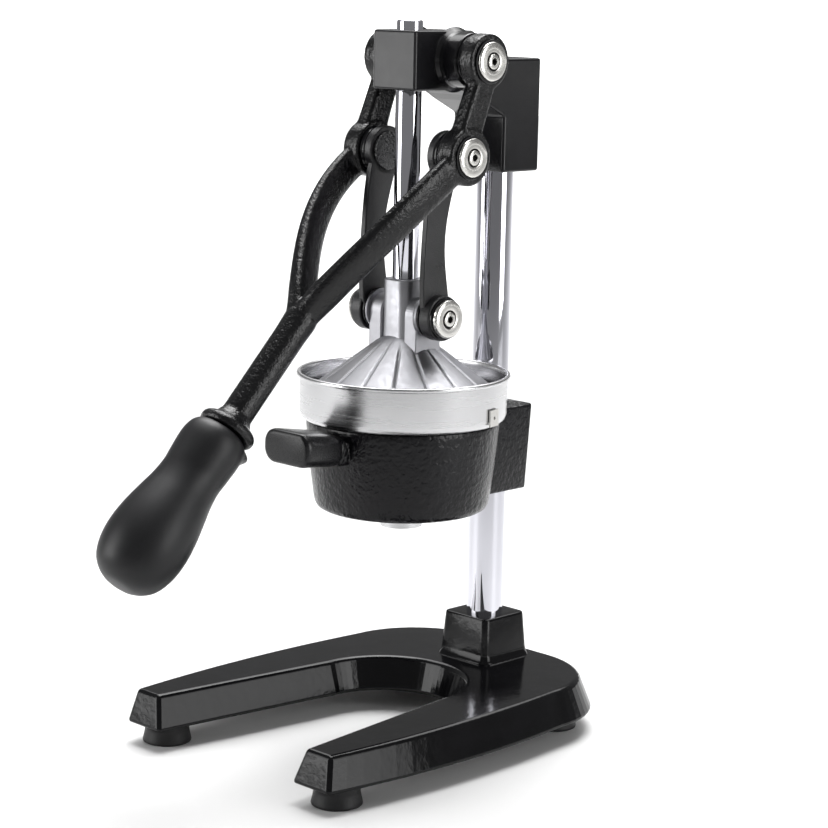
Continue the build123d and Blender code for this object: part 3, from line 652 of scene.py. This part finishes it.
# ------------------------------------------------------------ links
# bowed towards the user, narrowest halfway between its two pivots
LINK_BOW = 6.0
LINK_WAIST = 16.0
LINK_END = 21.0
link_eye_line = [
    (6.1, 22.8), (13.4, 22.8), (14.0, 23.1), (14.2, 23.7), (14.2, 27.4), (13.9, 28.0), (13.3, 28.2),
    (6.1, 28.2),
]
link_foot_line = [
    (6.1, 24.05), (12.3, 24.05), (12.8, 24.4), (13.0, 25.0), (13.0, 31.2), (12.7, 31.8), (12.2, 32.0),
    (6.1, 32.0),
]
for side, word in ((-1, "left"), (1, "right")):
    front, rear = [], []
    for step in range(25):
        t = 0.04 + 0.92 * step / 24
        swell = math.cos(math.pi * t) ** 2
        half = (LINK_WAIST + (LINK_END - LINK_WAIST) * swell) / 2
        middle_y = MIDDLE[0] + (LOWER[0] - MIDDLE[0]) * t - LINK_BOW * math.sin(math.pi * t)
        height = MIDDLE[1] + (LOWER[1] - MIDDLE[1]) * t
        front.append((middle_y - half, height))
        rear.append((middle_y + half, height))
    outline = front + rear[::-1]
    low, high = sorted((side * 22.8, side * 27.0))
    plate = slab("plate", outline, low, high, 0.9, 3)
    eye = seat(turn("eye", link_eye_line, 96), (0, MIDDLE[0], MIDDLE[1]), (side, 0, 0))
    foot = seat(turn("foot", link_foot_line, 96), (0, LOWER[0], LOWER[1]), (side, 0, 0))
    link = unite("link_plate_" + word, [plate, eye, foot])
    dress(link, word + "_link", link_black, "cast_black", "link_" + word)
    dark = []
    for low, high, outside in ((21.4, 22.6, 12.2), (22.7, 23.95, 11.4), (32.05, 33.45, 12.2)):
        ring = turn("ring", washer(low, high, outside, 6.05, 0.35), 96, closed=True)
        dark.append(seat(ring, (0, LOWER[0], LOWER[1]), (side, 0, 0)))
    dark = unite("lower_washer_" + word, dark)
    smooth(dark, 40)
    dress(dark, word + "_link", ring_black, "dark_ring", "lower_rings_" + word)
    lower_cap = ring_pair(
        "lower_cap_turned_" + word, word + "_link", LOWER, cap_profile(33.5, 36.4), cap_metal, "cap_steel",
        ["lower_cap_" + word], (side,),
    )
    # painted shade: the cap's well round the screw head is coloured black to stand for its shade
    paint_recess_shade(lower_cap, LOWER, 5.3, painted_shade_black)
    socket_screw("lower_cap_screw_" + word, word + "_link", LOWER, 24, 36.38, ["lower_screw_" + word],
        (side,))


# ------------------------------------------------------------ hood
FLUTES = 15
FLUTE_START = math.radians(-40)
FLUTE_DEPTH = 0.9
FLUTE_HALF = 0.75


def flute(angle, radius):
    """Depth of the nearest radial groove."""
    nearest = math.remainder(angle - FLUTE_START, math.tau / FLUTES)
    return FLUTE_DEPTH * math.exp(-((nearest * radius) / FLUTE_HALF) ** 2)


cone_rings = []
outer = [(53.4, 203.4), (54.0, 204.0), (54.0, 205.6), (53.2, 206.6)]
outer += [(53.2 - 3.2 * k, 206.6 + 2.372 * k) for k in range(1, 13)]
outer += [(11.5, 237.2), (8.0, 239.0)]
for radius, height in outer:
    ring = []
    for k in range(360):
        angle = math.tau * k / 360
        depth = flute(angle, radius) if 206 < height < 232.5 and radius > 18 else 0
        ring.append((radius * math.cos(angle), radius * math.sin(angle), height - depth))
    cone_rings.append(ring)
under_side = [(8.0, 234.9), (11.0, 233.2), (51.0, 203.6), (53.4, 203.4)]
for radius, height in under_side:
    ring = []
    for k in range(360):
        angle = math.tau * k / 360
        ring.append((radius * math.cos(angle), radius * math.sin(angle), height))
    cone_rings.append(ring)
cone = skin("cone", cone_rings, closed=True)
seat(cone, (0, PRESS_Y, 0))
smooth(cone, 50)
sleeve_levels = [
    (232, 22.6, 7), (236, 21.3, 6.6), (240, 21.0, 6.5), (269.6, 21.0, 6.5), (270.3, 20.5, 6.3),
    (270.6, 19.6, 6.0), (270.6, 15.6, 5.2),
]
sleeve = skin("sleeve", [squared(w, w, r, z, 8, (0, PRESS_Y)) for z, w, r in sleeve_levels])
smooth(sleeve, 40)
EAR_R = 10
ear_boss_line = [
    (6.0, 18.8), (12.4, 18.8), (12.0, 19.7), (12.0, 20.6), (11.7, 20.9), (11.3, 21.0), (2.0, 21.0),
]
ear_top = []
for step in range(25):
    angle = math.pi * step / 24
    ear_top.append((LOWER[0] + EAR_R * math.cos(angle), LOWER[1] + EAR_R * math.sin(angle)))
ears = []
for side in (-1, 1):
    outline = [(64.0, 224.0)] + ear_top + [(44.0, 224.0)]
    low, high = sorted((side * 9.4, side * 19.6))
    ears.append(slab("ear", outline, low, high, 1.1))
    boss = turn("boss", ear_boss_line, 96)
    smooth(boss, 40)
    ears.append(seat(boss, (0, LOWER[0], LOWER[1]), (side, 0, 0)))
hood = unite("hood_cast", [cone, sleeve] + ears)
dress(hood, "plunger", hood_metal, "hood_metal", "press_hood")

# ------------------------------------------------------------ pan
BEAD_R = 1.45
bead = []
for step in range(13):
    angle = math.radians(-100 + 22.5 * step)
    bead.append((61.0 + BEAD_R * math.cos(angle), 214.75 + BEAD_R * math.sin(angle)))
outside = [
    (12.4, 124.5), (12.4, 157.4), (13.0, 158.8), (46, 186), (47.6, 187.6), (50, 188.5), (56.0, 188.5),
    (58.2, 189.1), (59.7, 190.6), (60.5, 193.2), (60.5, 212.0), (60.75, 213.2),
]
inside = [
    (59.5, 212.4), (59.5, 193.6), (58.9, 191.4), (57.8, 190.1), (56.0, 189.5), (49.6, 189.5),
    (47.0, 188.4), (12.3, 159.6), (11.4, 157.8), (11.4, 124.5), (12.4, 124.5),
]
pan_line = outside + bead + inside
pan = turn("pan_spun", pan_line, 192, closed=True)
seat(pan, (0, PRESS_Y, 0))
smooth(pan, 45)
dress(pan, "frame", pan_metal, "pan_steel", "juice_pan", "pan_spout")

# ------------------------------------------------------------ holder
cup_line = [
    (13.6, 135.5), (44.5, 135.5), (47.6, 136.0), (49.8, 137.3), (51.0, 139.4), (51.7, 142.5),
    (53.9, 159), (55.6, 175), (56.4, 184.6), (56.5, 187.2), (56.2, 188.0), (55.4, 188.4),
    (53.2, 188.4), (52.6, 188.0), (52.4, 187.2), (49.4, 159), (47.2, 143), (46.0, 141.2),
    (13.6, 140.5), (13.6, 135.5),
]
cup = turn("cup", cup_line, 160, closed=True)
seat(cup, (0, PRESS_Y, 0))
smooth(cup, 40)
# height, width, depth and corner radius of each level
clamp_levels = [
    (137.0, 32.6, 34.0, 1.5), (137.5, 33.6, 35.0, 2.0), (138.6, 34.4, 36.0, 2.4), (187.0, 38.0, 39.5, 2.4),
    (188.2, 37.4, 38.9, 2.2), (188.8, 36.0, 37.5, 1.8), (189.0, 34.0, 35.5, 1.2),
]
clamp_rings = []
for z, wide, deep, radius in clamp_levels:
    middle_y = COLUMN_Y + 18.4 - deep / 2 - (189 - z) * 0.045
    clamp_rings.append(squared(wide, deep, radius, z, 5, (0, middle_y)))
clamp = skin("clamp", clamp_rings)
smooth(clamp, 40)
# place along Y, width, height and corner radius of each level
lug_levels = [
    (6.0, 29.0, 19.0, 6.0), (2.0, 25.5, 16.4, 4.0), (-1.0, 24.4, 15.6, 3.5), (-7.9, 24.0, 15.4, 3.5),
]
lug_rings = []
for y, wide, high, radius in lug_levels:
    lug_rings.append([(a, y, b) for a, b, _ in squared(wide, high, radius, 0, 5, (0, 176.4))])
lug = skin("lug", lug_rings)
smooth(lug, 50)
holder = unite("holder_cast", [cup, clamp, lug])
dress(holder, "frame", cup_black, "cast_black", "bowl_holder")

# place along Y, width, height, corner radius and middle height of each level
bar_levels = [
    (-8.0, 27.0, 13.4, 5.5, 178.0), (-8.4, 29.4, 16.2, 6.4, 178.2), (-9.6, 30.8, 17.8, 7.2, 178.4),
    (-11.5, 31.4, 18.6, 7.6, 178.7), (-22.0, 34.0, 19.2, 7.9, 180.1), (-32.0, 36.4, 19.6, 8.0, 181.4),
    (-35.0, 36.9, 19.6, 8.0, 181.7), (-36.8, 36.4, 19.0, 7.8, 181.8), (-37.7, 35.0, 17.6, 7.2, 181.8),
    (-38.0, 32.6, 15.0, 6.4, 181.8),
]
bar_rings = []
for y, wide, high, radius, middle_z in bar_levels:
    bar_rings.append([(a, y, b) for a, b, _ in squared(wide, high, radius, 0, 8, (0, middle_z))])
bar = skin("holder_bar", bar_rings)
smooth(bar, 50)
dress(bar, "frame", bar_black, "bar_black", "holder_grip")

# ------------------------------------------------------------ parts kept as they are
kept = {
    "foot_screws": screw_metal, "column_bolt": screw_metal, "head_set_screws": screw_metal,
    "rod_bushes": bronze, "pivot_shaft": screw_metal, "grip_rod": screw_metal,
    "holder_set_screws": screw_metal, "holder_grip_screw": screw_metal, "rod_screw": screw_metal,
    "pan_tab": cap_metal, "strainer_cone": pan_metal, "lower_pin_left": screw_metal,
    "lower_pin_right": screw_metal,
}
for node, material in kept.items():
    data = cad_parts[node].data
    data.materials.clear()
    data.materials.append(material)

# ------------------------------------------------------------ floor, light and camera
clear()
bpy.ops.mesh.primitive_plane_add(size=60, location=(0, 0, 0))
floor = bpy.context.object
floor.name = "studio_floor"
floor_paint, tree, shader = finish_for("pale_floor", (0.66, 0.66, 0.66), 0.0, 0.6)
floor.data.materials.append(floor_paint)

WALL_HEIGHT = 0.42
wall_paint, tree, shader = finish_for("pale_wall", (0.93, 0.93, 0.93), 0.0, 0.6)
shader.inputs["Emission Color"].default_value = (1, 1, 1, 1)
shader.inputs["Emission Strength"].default_value = 0.9
clear()
bpy.ops.mesh.primitive_cylinder_add(
    vertices=96, radius=6.5, depth=WALL_HEIGHT, end_fill_type="NOTHING", location=(0, 0, WALL_HEIGHT / 2),
)
wall = bpy.context.object
wall.name = "studio_wall"
wall.data.materials.append(wall_paint)


def panel(name, place, target, size, power, beam=170):
    lamp = bpy.data.lights.new(name, "AREA")
    lamp.shape = "RECTANGLE"
    lamp.size, lamp.size_y = size
    lamp.energy = power
    lamp.spread = math.radians(beam)
    box = bpy.data.objects.new(name, lamp)
    bpy.context.scene.collection.objects.link(box)
    box.location = place
    box.rotation_euler = (Vector(target) - Vector(place)).to_track_quat("-Z", "Y").to_euler()


panel("key_left", (-0.85, -1.25, 0.60), (-0.1, 0.40, 0.45), (0.9, 1.15), 5.5, 95)
panel("fill_right", (1.45, 0.55, 0.60), (-0.3, 0.50, 0.45), (0.8, 1.15), 5, 95)
panel("top_soft", (-0.25, 0.45, 1.8), (-0.05, 0.1, 0.2), (1.3, 1.3), 7.5, 62)
panel("floor_wash", (-2.4, 2.8, 3.2), (-2.2, 2.6, 0), (4.5, 4.5), 210, 110)

world = bpy.data.worlds.new("studio_air")
bpy.context.scene.world = world
world.use_nodes = True
world.node_tree.nodes["Background"].inputs["Color"].default_value = (1, 1, 1, 1)
world.node_tree.nodes["Background"].inputs["Strength"].default_value = 0.24

bpy.context.scene.view_settings.view_transform = "Standard"

CAMERA_PLACE = (0.960, -0.9035, 0.442)
yaw, pitch, roll = math.radians(44.8), math.radians(10.5), math.radians(1.1)
forward = Vector((-math.sin(yaw) * math.cos(pitch), math.cos(yaw) * math.cos(pitch), -math.sin(pitch)))
right = Vector((math.cos(yaw), math.sin(yaw), 0))
up = right.cross(forward)
tilted_right = right * math.cos(roll) + up * math.sin(roll)
tilted_up = up * math.cos(roll) - right * math.sin(roll)
lens = bpy.data.cameras.new("studio_camera")
lens.lens = 102.62
lens.sensor_width = 36
camera = bpy.data.objects.new("studio_camera", lens)
bpy.context.scene.collection.objects.link(camera)
turned = Matrix((tilted_right, tilted_up, -forward)).transposed().to_4x4()
camera.matrix_world = Matrix.Translation(CAMERA_PLACE) @ turned
bpy.context.scene.camera = camera
